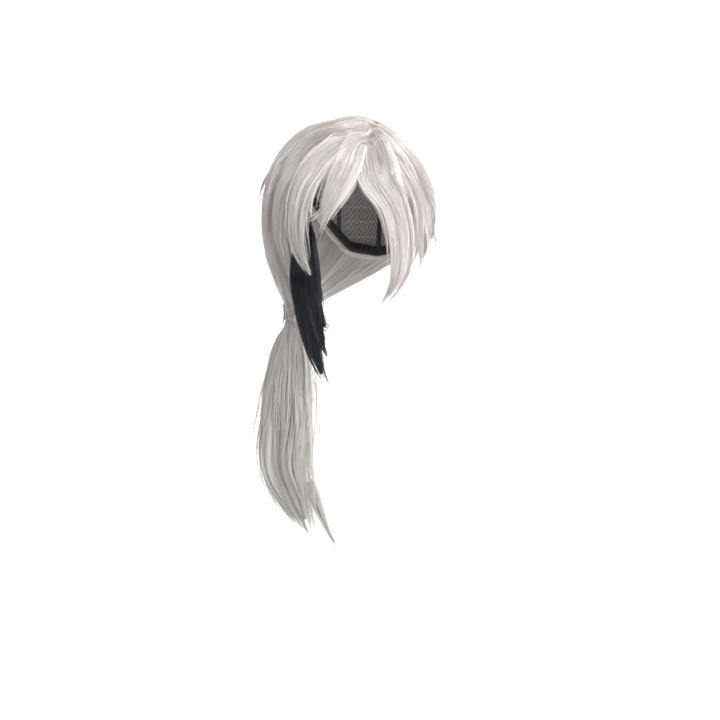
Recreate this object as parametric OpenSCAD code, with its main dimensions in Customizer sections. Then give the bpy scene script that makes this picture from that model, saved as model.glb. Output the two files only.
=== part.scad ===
// Asymmetric costume wig: a net cap with bands, wefts and straps, a layered
// bob of white fibre, a black under-layer lock and a long low side tail.
// Millimetres. The origin is the middle of the head at brow height, +Z is up,
// the face looks along -Y and the wearer's left is +X.

/* [Head size] */
// Width of the head that the cap fits
head_w = 154; // [146:1:162]
// Length of the head from brow to back
head_l = 196; // [188:1:204]
// Height from the brow line to the top of the head
head_top = 95; // [90:1:100]
// Depth of the lower half of the fitted form
head_low = 130; // [124:1:136]

/* [Cap] */
// Gap between the head and the net
net_gap = 0.9; // [0.8:0.1:1]
// Thickness of the stretch net
net_t = 0.8; // [0.5:0.1:0.8]
// Height of the front and nape bands, in degrees over the head
band_h = 7; // [5:0.5:8]
// Number of weft rows across the back
weft_rows = 8; // [6:1:8]
// Height of one sewn weft strip, in degrees over the head
weft_h = 2.6; // [2:0.2:3]

/* [Hair] */
// Thickness of the hair over the crown
crown_t = 9; // [7:0.5:10]
// Thickness of the hair down the back
back_t = 11; // [9:0.5:12]
// Thickness of the hair over the ears
side_t = 4; // [3:0.5:6]
// Radius of the gathered hair inside the tie
knot_r = 11; // [10:0.5:12]

/* [Hidden] */

// Layers of the cap, as distances from the head
net_in = net_gap;
net_out = net_gap + net_t;
trim_in = 0.1;
trim_out = net_gap - 0.2;
rib_in = net_out + 0.2;
rib_out = rib_in + 0.6;
weft_in = rib_out + 0.2;
weft_out = weft_in + 0.8;
hair_in = weft_out + 0.3;
crown_out = hair_in + crown_t;
side_out = hair_in + side_t;
back_out = hair_in + back_t;

// Angles over the head: theta falls from the top, phi turns from the front
// towards the wearer's left. A seam is the small gap between two patches.
seam = 0.4;
crown_edge = 38;
tab_top = 60;
side_front = 62;
tab_front = 66;
tab_back = 95;
nape_side = 126;
hair_side = 60;
hair_back = 120;
back_split = 80;
knot_at = [-106, 46, -144];
knot_h = 11;

white = "whitesmoke";
net_black = "dimgray";
black_fibre = "darkslategray";

// The cap's lower rim: theta against phi on one side of the head
rim_line = [
    [0, 52], [35, 55], [60, 66], [72, 84], [82, 99], [90, 94],
    [97, 87], [108, 88], [125, 100], [150, 117], [180, 120]
];
function fold(phi) = let (p = (phi + 360) % 360) p > 180 ? 360 - p : p;
function rim(phi) = lookup(fold(phi), rim_line);

// A point at a distance off the head
function head_pt(theta, phi, off) = [
    (head_w / 2 + off) * sin(theta) * sin(phi),
    -(head_l / 2 + off) * sin(theta) * cos(phi),
    ((theta < 90 ? head_top : head_low) + off) * cos(theta)
];

// ---- Patches that lie on the head -------------------------------------

// The two triangles of a four-sided face
function strip(a, b, c, d) = [[a, c, b], [a, d, c]];

// A curved sheet from phi0 to phi1, between the thetas that top and low give,
// and between the distances inner and outer, where outer is a function
module patch(phi0, phi1, top, low, inner, outer, nu = 10, nv = 6) {
    row = nv + 1;
    side = (nu + 1) * row;
    grid = [for (i = [0:nu]) for (j = [0:nv])
        let (phi = phi0 + (phi1 - phi0) * i / nu)
        [top(phi) + (low(phi) - top(phi)) * j / nv, phi]];
    pts = concat(
        [for (g = grid) head_pt(g[0], g[1], inner)],
        [for (g = grid) head_pt(g[0], g[1], outer(g[0], g[1]))]);
    function at(i, j, s) = s * side + i * row + j;
    faces = concat(
        [for (i = [0:nu - 1]) for (j = [0:nv - 1])
            each strip(at(i, j, 1), at(i, j + 1, 1), at(i + 1, j + 1, 1), at(i + 1, j, 1))],
        [for (i = [0:nu - 1]) for (j = [0:nv - 1])
            each strip(at(i, j, 0), at(i + 1, j, 0), at(i + 1, j + 1, 0), at(i, j + 1, 0))],
        [for (i = [0:nu - 1])
            each strip(at(i, 0, 0), at(i, 0, 1), at(i + 1, 0, 1), at(i + 1, 0, 0))],
        [for (i = [0:nu - 1])
            each strip(at(i, nv, 0), at(i + 1, nv, 0), at(i + 1, nv, 1), at(i, nv, 1))],
        [for (j = [0:nv - 1])
            each strip(at(0, j, 0), at(0, j + 1, 0), at(0, j + 1, 1), at(0, j, 1))],
        [for (j = [0:nv - 1])
            each strip(at(nu, j, 0), at(nu, j, 1), at(nu, j + 1, 1), at(nu, j + 1, 0))]);
    polyhedron(points = pts, faces = faces, convexity = 6);
}

// A sheet of even thickness
module sheet(phi0, phi1, top, low, inner, outer, nu = 10, nv = 6) {
    patch(phi0, phi1, top, low, inner, function (t, p) outer, nu, nv);
}

// A round cap over the top of the head, down to theta
module top_disc(theta, inner, outer, nu = 24, nv = 5) {
    side = 1 + nu * nv;
    pts = concat(
        [head_pt(0, 0, inner)],
        [for (j = [1:nv]) for (i = [0:nu - 1]) head_pt(theta * j / nv, 360 * i / nu, inner)],
        [head_pt(0, 0, outer)],
        [for (j = [1:nv]) for (i = [0:nu - 1]) head_pt(theta * j / nv, 360 * i / nu, outer)]);
    function at(j, i, s) = j == 0 ? s * side : s * side + 1 + (j - 1) * nu + (i % nu);
    faces = concat(
        [for (i = [0:nu - 1]) [at(0, 0, 1), at(1, i + 1, 1), at(1, i, 1)]],
        [for (i = [0:nu - 1]) [at(0, 0, 0), at(1, i, 0), at(1, i + 1, 0)]],
        [for (j = [1:nv - 1]) for (i = [0:nu - 1])
            each strip(at(j, i, 1), at(j + 1, i, 1), at(j + 1, i + 1, 1), at(j, i + 1, 1))],
        [for (j = [1:nv - 1]) for (i = [0:nu - 1])
            each strip(at(j, i, 0), at(j, i + 1, 0), at(j + 1, i + 1, 0), at(j + 1, i, 0))],
        [for (i = [0:nu - 1])
            each strip(at(nv, i, 0), at(nv, i + 1, 0), at(nv, i + 1, 1), at(nv, i, 1))]);
    polyhedron(points = pts, faces = faces, convexity = 6);
}

// ---- Locks of hair ----------------------------------------------------

// One point of a smooth curve through four guide points
function curve_pt(a, b, c, d, t) =
    0.5 * (2 * b + (c - a) * t + (2 * a - 5 * b + 4 * c - d) * t * t
        + (3 * b - a - 3 * c + d) * t * t * t);
function curve(g, steps) = [
    for (i = [0:len(g) - 2]) for (k = [0:steps - 1])
        curve_pt(g[max(i - 1, 0)], g[i], g[i + 1], g[min(i + 2, len(g) - 1)], k / steps),
    g[len(g) - 1]
];
function unit(v) = v / norm(v);
function place(q) = [q[0], q[1], q[2]];

// The way a lock faces: away from the head, or the direction it is given
function outward(p, face) =
    face == undef ? [p[0], p[1], p[2] - min(max(p[2], -60), 30)] : face;

// A lock swept along its guide. Each guide point is [x, y, z, half width,
// half thickness], from the root to the tip.
module lock(guide, face = undef, steps = 3, sides = 10) {
    c = curve(guide, steps);
    n = len(c);
    pts = [for (i = [0:n - 1])
        let (t = unit(place(c[min(i + 1, n - 1)]) - place(c[max(i - 1, 0)])),
            f = outward(c[i], face),
            nrm = unit(f - (f * t) * t),
            across = cross(t, nrm))
        for (k = [0:sides - 1])
            place(c[i]) + across * (c[i][3] * cos(360 * k / sides))
                + nrm * (c[i][4] * sin(360 * k / sides))];
    faces = concat(
        [for (i = [0:n - 2]) for (k = [0:sides - 1])
            each strip(i * sides + k, (i + 1) * sides + k,
                (i + 1) * sides + (k + 1) % sides, i * sides + (k + 1) % sides)],
        [[for (k = [0:sides - 1]) sides - 1 - k]],
        [[for (k = [0:sides - 1]) (n - 1) * sides + k]]);
    polyhedron(points = pts, faces = faces, convexity = 6);
}

// ---- Guides of the locks, root to tip ---------------------------------

face_lock_guide = [
    [38, -79, 51, 8, 3], [49, -86, 24, 16, 4.5], [60, -83, -4, 17, 5],
    [66, -78, -30, 16, 5], [69, -75, -52, 15, 5], [66, -73, -88, 12, 4.5], [57, -75, -112, 7, 3.5],
    [46, -78, -130, 2, 1.5]
];
side_lock_left_guide = [
    [58, -45, 68, 9, 3], [79, -36, 31, 12, 4], [88, -17, -8, 13, 4],
    [87, 4, -40, 12, 4], [78, 24, -60, 8, 3.5], [68, 38, -72, 2.5, 2]
];
flick_left_guide = [
    [68, 8, 70, 9, 3], [82, 20, 36, 13, 4], [88, 32, 4, 12, 4],
    [90, 44, -20, 7, 3.5], [91, 54, -44, 2, 1.5]
];
fringe_point_guide = [
    [18, -90, 55, 7, 3], [11, -100, 33, 12, 4], [1, -107, 8, 13, 4],
    [-9, -112, -18, 9, 3], [-17, -114, -45, 1.5, 1]
];
fringe_inner_guide = [
    [-8, -95, 50, 7, 3], [-25, -99, 34, 13, 4], [-43, -96, 6, 16, 5],
    [-52, -93, -28, 15, 5], [-51, -91, -62, 10, 4], [-40, -89, -92, 2, 1.5]
];
fringe_outer_guide = [
    [0, -84, 71, 7, 3], [-32, -81, 64, 14, 4], [-64, -70, 36, 17, 5],
    [-84, -62, 0, 18, 6], [-90, -56, -45, 14, 6], [-80, -48, -85, 8, 4],
    [-72, -42, -108, 2, 1.5]
];
side_right_front_guide = [
    [-30, -40, 100, 10, 3], [-64, -42, 84, 18, 6], [-96, -38, 54, 20, 8],
    [-114, -34, 12, 20, 8], [-121, -30, -40, 17, 8], [-110, -24, -88, 10, 6],
    [-99, -18, -122, 3, 2]
];
side_right_rear_guide = [
    [-30, 12, 105, 10, 3], [-62, 14, 95, 20, 6], [-98, 16, 66, 22, 8],
    [-120, 14, 18, 22, 8], [-124, 12, -35, 20, 8], [-116, 18, -85, 16, 8],
    [-102, 34, -133, 9, 7]
];
flick_right_guide = [
    [-30, 50, 94, 9, 4], [-70, 56, 82, 16, 5], [-106, 58, 60, 16, 5],
    [-130, 58, 40, 9, 4], [-150, 58, 26, 2, 1.5]
];
nape_left_guide = [
    [74, 56, -30, 9, 3], [54, 92, -54, 11, 4], [10, 106, -74, 13, 5],
    [-36, 98, -94, 13, 6], [-70, 80, -112, 10, 6], [-90, 62, -131, 6, 5]
];
nape_right_guide = [
    [-40, 104, -40, 10, 4], [-74, 88, -72, 12, 5], [-97, 70, -104, 10, 6],
    [-106, 54, -132, 6, 5]
];
back_lock_guides = [
    [[38, 74, 66, 10, 4], [56, 86, 36, 15, 5], [66, 98, -4, 16, 5],
        [74, 108, -34, 9, 4], [82, 116, -52, 2, 1.5]],
    [[12, 88, 70, 10, 4], [20, 106, 38, 17, 5], [22, 120, -6, 17, 5],
        [24, 129, -38, 9, 4], [26, 138, -58, 2, 1.5]],
    [[-17, 86, 70, 10, 4], [-26, 104, 40, 17, 5], [-28, 118, -4, 17, 5],
        [-32, 127, -40, 9, 4], [-36, 136, -62, 2, 1.5]],
    [[-46, 70, 66, 10, 4], [-66, 82, 40, 17, 5], [-78, 94, -2, 17, 5],
        [-87, 104, -34, 9, 4], [-96, 112, -54, 2, 1.5]]
];
black_face = [-0.25, -1, 0];
black_lock_guide = [
    [-52, -68, -24, 7, 3], [-52, -70, -60, 13, 5], [-50, -71, -100, 18, 6],
    [-47, -72, -140, 17, 6], [-42, -73, -175, 13, 5], [-32, -76, -205, 8, 4],
    [-20, -80, -224, 2, 1.5]
];
tail_face = [-0.26, -0.96, 0];
tail_guide = [
    [-105, 44, -168, 10, 8], [-108, 46, -195, 22, 12], [-112, 47, -240, 32, 17],
    [-114, 47, -290, 35, 18], [-116, 45, -340, 38, 17], [-103, 44, -388, 29, 13],
    [-88, 40, -420, 16, 8], [-80, 38, -438, 4, 3]
];
tail_wisp_guide = [
    [-84, 43, -370, 7, 5], [-70, 41, -402, 6, 4.5], [-56, 36, -430, 3, 2.5],
    [-43, 32, -453, 1.2, 1]
];

// ---- Cap --------------------------------------------------------------

module crown_net() {
    color(net_black) top_disc(crown_edge, net_in, net_out);
}

module top_net() {
    color(net_black)
        sheet(-side_front + seam, side_front - seam, function (p) crown_edge + seam,
            function (p) rim(p) - band_h - seam, net_in, net_out, 16, 2);
}

module back_net() {
    color(net_black)
        sheet(nape_side + seam, 360 - nape_side - seam, function (p) crown_edge + seam,
            function (p) rim(p) - band_h - seam, net_in, net_out, 12, 8);
}

// The net beside the head: above the ear tab, and down to the binding behind it
module side_net_shape() {
    overlap = 0.4;
    sheet(side_front, tab_back + seam + overlap, function (p) crown_edge + seam,
        function (p) tab_top - seam, net_in, net_out, 4, 3);
    sheet(tab_back + seam, nape_side, function (p) crown_edge + seam,
        function (p) rim(p) - band_h - seam, net_in, net_out, 4, 6);
}

module side_net_left() {
    color(net_black) side_net_shape();
}

module side_net_right() {
    color(net_black) mirror([1, 0, 0]) side_net_shape();
}

// Fine skin patch under the parting, left of centre, sewn over the net
module parting_patch() {
    color("tan")
        sheet(14, 34, function (p) 16, function (p) rim(p) - band_h - 1,
            rib_in, rib_out, 3, 6);
}

module front_band() {
    color(net_black)
        sheet(-tab_front + seam, tab_front - seam, function (p) rim(p) - band_h,
            function (p) rim(p), net_in, net_out, 20, 2);
}

module nape_band() {
    color(net_black)
        sheet(nape_side + seam, 360 - nape_side - seam, function (p) rim(p) - band_h,
            function (p) rim(p), net_in, net_out, 14, 2);
}

module ear_tab_shape() {
    sheet(tab_front, tab_back, function (p) tab_top, function (p) rim(p),
        net_in, net_out, 8, 4);
}

module ear_tab_left() {
    color(net_black) ear_tab_shape();
}

module ear_tab_right() {
    color(net_black) mirror([1, 0, 0]) ear_tab_shape();
}

// Springy strip sewn inside the ear tab, which holds the tab against the skin
module ear_stay_shape() {
    sheet(79, 84, function (p) tab_top + 4, function (p) rim(p) - 4,
        trim_in, trim_out, 2, 5);
}

module ear_stay_left() {
    color("silver") ear_stay_shape();
}

module ear_stay_right() {
    color("silver") mirror([1, 0, 0]) ear_stay_shape();
}

module ear_binding_shape() {
    sheet(tab_back + seam, nape_side, function (p) rim(p) - band_h,
        function (p) rim(p), net_in, net_out, 8, 2);
}

module ear_binding_left() {
    color(net_black) ear_binding_shape();
}

module ear_binding_right() {
    color(net_black) mirror([1, 0, 0]) ear_binding_shape();
}

// Elastic ribs from the crown down to the bands, under the weft rows
module cap_ribs() {
    half = 2.2;
    color("gray")
        for (phi = [100, 140, 180, 220, 260])
            sheet(phi - half, phi + half, function (p) crown_edge - 12,
                function (p) rim(p) - 1, rib_in, rib_out, 1, 8);
}

// Weft sewn in a spiral round the crown
module crown_weft() {
    turns = 2.25;
    steps = 60;
    half = 1.1;
    pts = [for (i = [0:steps])
        let (phi = 180 + 360 * turns * i / steps, theta = 35 - 24 * i / steps)
        each [head_pt(theta - half, phi, weft_in), head_pt(theta + half, phi, weft_in),
            head_pt(theta + half, phi, weft_out), head_pt(theta - half, phi, weft_out)]];
    faces = concat(
        [for (i = [0:steps - 1]) for (k = [0:3])
            each strip(4 * i + k, 4 * i + 4 + k,
                4 * i + 4 + (k + 1) % 4, 4 * i + (k + 1) % 4)],
        [[3, 2, 1, 0]],
        [[for (k = [0:3]) 4 * steps + k]]);
    color(white) polyhedron(points = pts, faces = faces, convexity = 6);
}

// Rows run round the back from ear to ear, shorter where the cap narrows
weft_from = [66, 66, 68, 70, 72, 118, 134, 148];

module weft_row(i) {
    theta = 44 + 9 * (i - 1);
    start = weft_from[i - 1];
    if (i <= weft_rows)
        color(white)
            sheet(start, 360 - start, function (p) theta - weft_h / 2,
                function (p) theta + weft_h / 2, weft_in, weft_out,
                ceil((360 - 2 * start) / 9), 1);
}

// Elastic strap inside the nape band, from behind the ear towards the middle
module strap_shape() {
    sheet(112, 155, function (p) rim(p) - 5, function (p) rim(p) - 2,
        trim_in, trim_out, 8, 1);
}

module strap_left() {
    color("black") strap_shape();
}

module strap_right() {
    color("black") mirror([1, 0, 0]) strap_shape();
}

// Tape with sewn pockets that take the strap's hook
module loop_tape_shape() {
    for (i = [0:2])
        sheet(163 + 5 * i, 167 + 5 * i, function (p) rim(p) - 5.4,
            function (p) rim(p) - 1.6, trim_in, trim_out, 1, 1);
}

module loop_tape_left() {
    color("black") loop_tape_shape();
}

module loop_tape_right() {
    color("black") mirror([1, 0, 0]) loop_tape_shape();
}

// Flat hook on the strap's end, with a slot that the strap passes through
hook_phi = 157;
hook_w = 7;
hook_h = 9;
hook_t = 1;
hook_off = -1.8;
hook_tilt = 18;
module hook_shape() {
    spot = head_pt(rim(hook_phi) - 3.5, hook_phi, hook_off);
    turn = atan2(head_l * sin(hook_phi), head_w * cos(hook_phi));
    translate(spot) rotate([0, 0, turn]) rotate([90 + hook_tilt, 0, 0])
        difference() {
            union() {
                translate([0, 0, -hook_t / 2]) linear_extrude(hook_t)
                    square([hook_w, hook_h], center = true);
                translate([hook_w / 2, 0, -hook_t / 2]) cylinder(h = hook_t, r = 2.5, $fn = 24);
            }
            translate([-1.6, 0, -hook_t]) linear_extrude(2 * hook_t)
                square([1.4, 6.4], center = true);
        }
}

module hook_left() {
    color("black") hook_shape();
}

module hook_right() {
    color("black") mirror([1, 0, 0]) hook_shape();
}

// ---- Hair that is sewn to the cap -------------------------------------

module crown_hair() {
    color(white) top_disc(crown_edge - 1.4, hair_in, crown_out);
}

// The outer surface thins towards the hairline, where the cap's edge is
module front_hair() {
    thin = 3;
    color(white)
        patch(-hair_side + seam, hair_side - seam, function (p) crown_edge,
            function (p) rim(p) + 0.6, hair_in,
            function (t, p) crown_out - (crown_t - thin) * (t - crown_edge)
                / (rim(p) + 0.6 - crown_edge), 12, 3);
}

module side_hair_shape() {
    patch(hair_side, hair_back - seam, function (p) crown_edge,
        function (p) rim(p) + 0.6, hair_in,
        function (t, p) min(side_out, crown_out), 10, 8);
}

module side_hair_left() {
    color(white) side_hair_shape();
}

module side_hair_right() {
    color(white) mirror([1, 0, 0]) side_hair_shape();
}

module back_hair_upper() {
    color(white)
        patch(hair_back, 360 - hair_back, function (p) crown_edge,
            function (p) back_split - seam, hair_in,
            function (t, p) crown_out
                + (back_out - crown_out) * sin(90 * min(1, (t - crown_edge) / 20)), 12, 5);
}

module back_hair_lower() {
    thin = 5;
    color(white)
        patch(hair_back, 360 - hair_back, function (p) back_split,
            function (p) rim(p) + 0.6, hair_in,
            function (t, p) back_out - (back_t - thin) * (t - back_split) / (121 - back_split),
            12, 4);
}

module side_lock_left() {
    color(white) lock(side_lock_left_guide);
}

module flick_left() {
    color(white) lock(flick_left_guide);
}

module fringe_right_outer() {
    color(white) lock(fringe_outer_guide);
}

module side_lock_right_front() {
    color(white) lock(side_right_front_guide);
}

module side_lock_right_rear() {
    color(white) lock(side_right_rear_guide);
}

module flick_right() {
    color(white) lock(flick_right_guide);
}

module nape_sweep_left() {
    color(white) lock(nape_left_guide);
}

module nape_sweep_right() {
    color(white) lock(nape_right_guide);
}

module back_lock(i) {
    color(white) lock(back_lock_guides[i - 1]);
}

// ---- Hair that swings -------------------------------------------------

module fringe_point() {
    color(white) lock(fringe_point_guide);
}

module fringe_right_inner() {
    color(white) lock(fringe_inner_guide);
}

module face_lock_left() {
    color(white) lock(face_lock_guide);
}

module black_lock() {
    color(black_fibre) lock(black_lock_guide, black_face);
}

// Gathered hair where the tail begins, with the elastic tie round it
module hair_knot() {
    color(white) translate(knot_at - [0, 0, knot_h]) cylinder(h = knot_h, r = knot_r, $fn = 48);
}

module hair_tie() {
    wire_r = 1.8;
    bite = 0.2;
    color("gainsboro") translate(knot_at - [0, 0, knot_h / 2])
        rotate_extrude($fn = 48)
            translate([knot_r + wire_r - bite, 0]) circle(r = wire_r, $fn = 24);
}

module tail_hair() {
    color(white) lock(tail_guide, tail_face, 3, 12);
}

module tail_wisp() {
    color(white) lock(tail_wisp_guide, tail_face);
}

crown_net();
top_net();
back_net();
side_net_left();
side_net_right();
parting_patch();
front_band();
nape_band();
ear_tab_left();
ear_tab_right();
ear_stay_left();
ear_stay_right();
ear_binding_left();
ear_binding_right();
cap_ribs();
crown_weft();
weft_row(1);  // weft_row_1
weft_row(2);  // weft_row_2
weft_row(3);  // weft_row_3
weft_row(4);  // weft_row_4
weft_row(5);  // weft_row_5
weft_row(6);  // weft_row_6
weft_row(7);  // weft_row_7
weft_row(8);  // weft_row_8
strap_left();
strap_right();
loop_tape_left();
loop_tape_right();
hook_left();
hook_right();
crown_hair();
front_hair();
side_hair_left();
side_hair_right();
back_hair_upper();
back_hair_lower();
side_lock_left();
flick_left();
fringe_right_outer();
side_lock_right_front();
side_lock_right_rear();
flick_right();
nape_sweep_left();
nape_sweep_right();
back_lock(1);  // back_lock_1
back_lock(2);  // back_lock_2
back_lock(3);  // back_lock_3
back_lock(4);  // back_lock_4
fringe_point();
fringe_right_inner();
face_lock_left();
black_lock();
hair_tie();
hair_knot();
tail_hair();
tail_wisp();
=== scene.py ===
import math

import bpy
import numpy as np
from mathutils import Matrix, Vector


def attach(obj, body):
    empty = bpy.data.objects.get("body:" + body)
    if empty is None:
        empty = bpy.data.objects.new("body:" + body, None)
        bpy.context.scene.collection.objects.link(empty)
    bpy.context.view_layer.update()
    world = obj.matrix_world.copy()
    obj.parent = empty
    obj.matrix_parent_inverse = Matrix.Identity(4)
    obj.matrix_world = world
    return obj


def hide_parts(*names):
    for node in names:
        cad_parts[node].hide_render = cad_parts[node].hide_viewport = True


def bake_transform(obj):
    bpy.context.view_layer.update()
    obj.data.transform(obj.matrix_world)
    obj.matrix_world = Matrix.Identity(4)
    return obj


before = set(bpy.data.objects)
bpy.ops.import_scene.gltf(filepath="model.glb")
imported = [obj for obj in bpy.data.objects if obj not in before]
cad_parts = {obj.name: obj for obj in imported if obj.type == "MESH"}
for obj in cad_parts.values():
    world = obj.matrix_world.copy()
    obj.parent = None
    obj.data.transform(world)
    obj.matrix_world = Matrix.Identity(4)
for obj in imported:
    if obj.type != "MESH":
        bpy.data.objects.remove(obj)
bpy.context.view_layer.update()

# Lengths below are in millimetres until a mesh is made, in the CAD model's frame:
# +Z up, the face looks along -Y, the wearer's left is +X.
MM = 0.001

# ---------------------------------------------------------------- camera

AIM = np.array([-1.0, 0.5, -200.9])
DISTANCE = 1300.0
TURN = math.radians(15)
RISE = math.radians(4)
LENS = 50.8


def make_camera():
    away = np.array([math.sin(TURN) * math.cos(RISE), -math.cos(TURN) * math.cos(RISE), math.sin(RISE)])
    spot = AIM + away * DISTANCE
    data = bpy.data.cameras.new("camera")
    data.lens = LENS
    data.sensor_width = 36
    data.clip_end = 20
    camera = bpy.data.objects.new("camera", data)
    camera.location = Vector(spot * MM)
    camera.rotation_euler = Vector(-away).to_track_quat("-Z", "Y").to_euler()
    bpy.context.scene.collection.objects.link(camera)
    bpy.context.scene.camera = camera


make_camera()
bpy.context.scene.view_settings.view_transform = "Standard"

# ---------------------------------------------------------------- the head form

HEAD_A = 77.0
HEAD_B = 98.0
HEAD_TOP = 95.0
HEAD_LOW = 130.0
RIM = [(0, 52), (35, 55), (60, 66), (72, 84), (82, 99), (90, 94),
       (97, 87), (108, 88), (125, 100), (150, 117), (180, 120)]


def rim(phi):
    """The cap's lower edge: theta, in degrees, against phi."""
    p = np.abs((np.asarray(phi, float) + 180) % 360 - 180)
    xs, ys = zip(*RIM)
    near = [np.interp(p + d, xs, ys) for d in (-4, -2, 0, 2, 4)]
    return sum(near) / len(near)


def head_pt(theta, phi, off):
    """A point off mm away from the head; theta falls from the top, phi turns from the front to +X."""
    th, ph = np.radians(theta), np.radians(phi)
    off = np.asarray(off, float)
    up = np.where(np.cos(th) > 0, HEAD_TOP, HEAD_LOW)
    return np.stack(np.broadcast_arrays(
        (HEAD_A + off) * np.sin(th) * np.sin(ph),
        -(HEAD_B + off) * np.sin(th) * np.cos(ph),
        (up + off) * np.cos(th)), -1)


def axes_at(p, off):
    up = np.where(p[..., 2] > 0, HEAD_TOP, HEAD_LOW)
    off = np.broadcast_to(off, up.shape)
    return np.stack([HEAD_A + off, HEAD_B + off, up + off], -1)


def distance_off(p):
    """How far points stand off the head."""
    lo, hi = np.full(p.shape[:-1], -60.0), np.full(p.shape[:-1], 300.0)
    for _ in range(24):
        mid = (lo + hi) / 2
        outside = ((p / axes_at(p, mid)) ** 2).sum(-1) > 1
        lo, hi = np.where(outside, mid, lo), np.where(outside, hi, mid)
    return (lo + hi) / 2


def pushed(p, off):
    """Points moved along their rays from the origin until they stand off mm off the head."""
    scale = np.sqrt(((p / axes_at(p, off)) ** 2).sum(-1))
    return p / scale[..., None]


def unit(v):
    return v / np.maximum(np.linalg.norm(v, axis=-1, keepdims=True), 1e-9)


def smooth(x, lo, hi):
    t = np.clip((np.asarray(x, float) - lo) / (hi - lo), 0, 1)
    return t * t * (3 - 2 * t)


# ---------------------------------------------------------------- meshes

def make_mesh(name, verts, faces, materials, index, floats):
    """A mesh object from points in millimetres and faces as arrays of three or four corners."""
    me = bpy.data.meshes.new(name)
    me.vertices.add(len(verts))
    me.vertices.foreach_set("co", (np.asarray(verts, np.float32) * MM).ravel())
    sizes = np.concatenate([np.full(len(f), f.shape[1]) for f in faces])
    corners = np.concatenate([f.ravel() for f in faces])
    me.loops.add(len(corners))
    me.loops.foreach_set("vertex_index", corners.astype(np.int32))
    me.polygons.add(len(sizes))
    starts = np.concatenate([[0], np.cumsum(sizes)[:-1]])
    me.polygons.foreach_set("loop_start", starts.astype(np.int32))
    me.polygons.foreach_set("loop_total", sizes.astype(np.int32))
    for m in materials:
        me.materials.append(m)
    me.polygons.foreach_set("material_index", np.asarray(index, np.int32))
    me.polygons.foreach_set("use_smooth", np.full(len(sizes), True))
    me.update(calc_edges=True)
    for key, values in floats.items():
        layer = me.attributes.new(key, "FLOAT", "POINT")
        layer.data.foreach_set("value", np.asarray(values, np.float32))
    me.validate()
    ob = bpy.data.objects.new(name, me)
    bpy.context.scene.collection.objects.link(ob)
    return ob


class Build:
    """Collects parts of one piece: points, faces, a material number and the two values that colour them."""

    def __init__(self):
        self.verts, self.tone, self.along = [], [], []
        # Faces with four corners, then faces with three: their corners and their materials
        self.faces = [[], []]
        self.mats = [[], []]
        self.count = 0

    def add(self, verts, quads, tris, mat, tone, along):
        self.verts.append(verts)
        self.tone.append(np.broadcast_to(tone, len(verts)))
        self.along.append(np.broadcast_to(along, len(verts)))
        for kind, faces in enumerate((quads, tris)):
            if len(faces):
                self.faces[kind].append(faces + self.count)
                self.mats[kind].append(np.full(len(faces), mat))
        self.count += len(verts)

    def finish(self, name, materials):
        faces = [np.concatenate(f) for f in self.faces if f]
        mats = [np.concatenate(m) for m in self.mats if m]
        floats = {"tone": np.concatenate(self.tone), "along": np.concatenate(self.along)}
        return make_mesh(name, np.concatenate(self.verts), faces, materials, np.concatenate(mats), floats)


def ring_faces(n, m, k):
    """Quads and end triangles of n tubes of m rings with k corners each."""
    i = np.arange(n)[:, None, None] * m * k
    j = np.arange(m - 1)[None, :, None] * k
    c = np.arange(k)[None, None, :]
    d = (c + 1) % k
    base = i + j
    quads = np.stack([base + c, base + d, base + d + k, base + c + k], -1).reshape(-1, 4)
    fan = np.arange(1, k - 1)
    first = np.stack([np.zeros_like(fan), fan + 1, fan], -1)[None] + i
    last = np.stack([np.zeros_like(fan), fan, fan + 1], -1)[None] + i + (m - 1) * k
    tris = np.concatenate([first.reshape(-1, 3), last.reshape(-1, 3)])
    return quads, tris


def sheet_faces(rows, columns):
    """Quads of a closed sheet: a grid of points, the same grid again for its other side, and the edge."""
    i, j = np.meshgrid(np.arange(rows - 1), np.arange(columns - 1), indexing="ij")
    corner = i * columns + j
    face = np.stack([corner, corner + 1, corner + columns + 1, corner + columns], -1).reshape(-1, 4)
    edge = np.concatenate([np.arange(columns), np.arange(1, rows) * columns + columns - 1,
                           (rows - 1) * columns + np.arange(columns - 2, -1, -1),
                           np.arange(rows - 2, 0, -1) * columns])
    step = np.roll(edge, -1)
    other = rows * columns
    side = np.stack([edge, edge + other, step + other, step], -1)
    return np.concatenate([face, face[:, ::-1] + other, side])


def add_fibres(build, centre, half, facing, mat, tone):
    """Fibres as slim closed prisms: centre (n, m, 3), half widths (n, m), the way each faces (n, m, 3)."""
    n, m = centre.shape[:2]
    along = unit(np.gradient(centre, axis=1))
    across = unit(np.cross(along, facing))
    out = np.cross(across, along)
    h = half[..., None]
    ring = np.stack([centre + across * h - out * h * 0.3,
                     centre + out * h * 0.8,
                     centre - across * h - out * h * 0.3], 2)
    quads, tris = ring_faces(n, m, 3)
    t = np.broadcast_to(np.linspace(0, 1, m)[None, :, None], (n, m, 3)).ravel()
    build.add(ring.reshape(-1, 3), quads, tris, mat, np.repeat(tone, m * 3), t)


# ---------------------------------------------------------------- materials

def shader(name, rough, specular, sheen=0.0):
    m = bpy.data.materials.new(name)
    m.use_nodes = True
    nt = m.node_tree
    b = nt.nodes["Principled BSDF"]
    b.inputs["Roughness"].default_value = rough
    b.inputs["Specular IOR Level"].default_value = specular
    b.inputs["Sheen Weight"].default_value = sheen
    return m, nt, b


def node(nt, kind, values=None, **props):
    n = nt.nodes.new(kind)
    for k, v in props.items():
        setattr(n, k, v)
    for k, v in (values or {}).items():
        n.inputs[k].default_value = v
    return n


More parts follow.
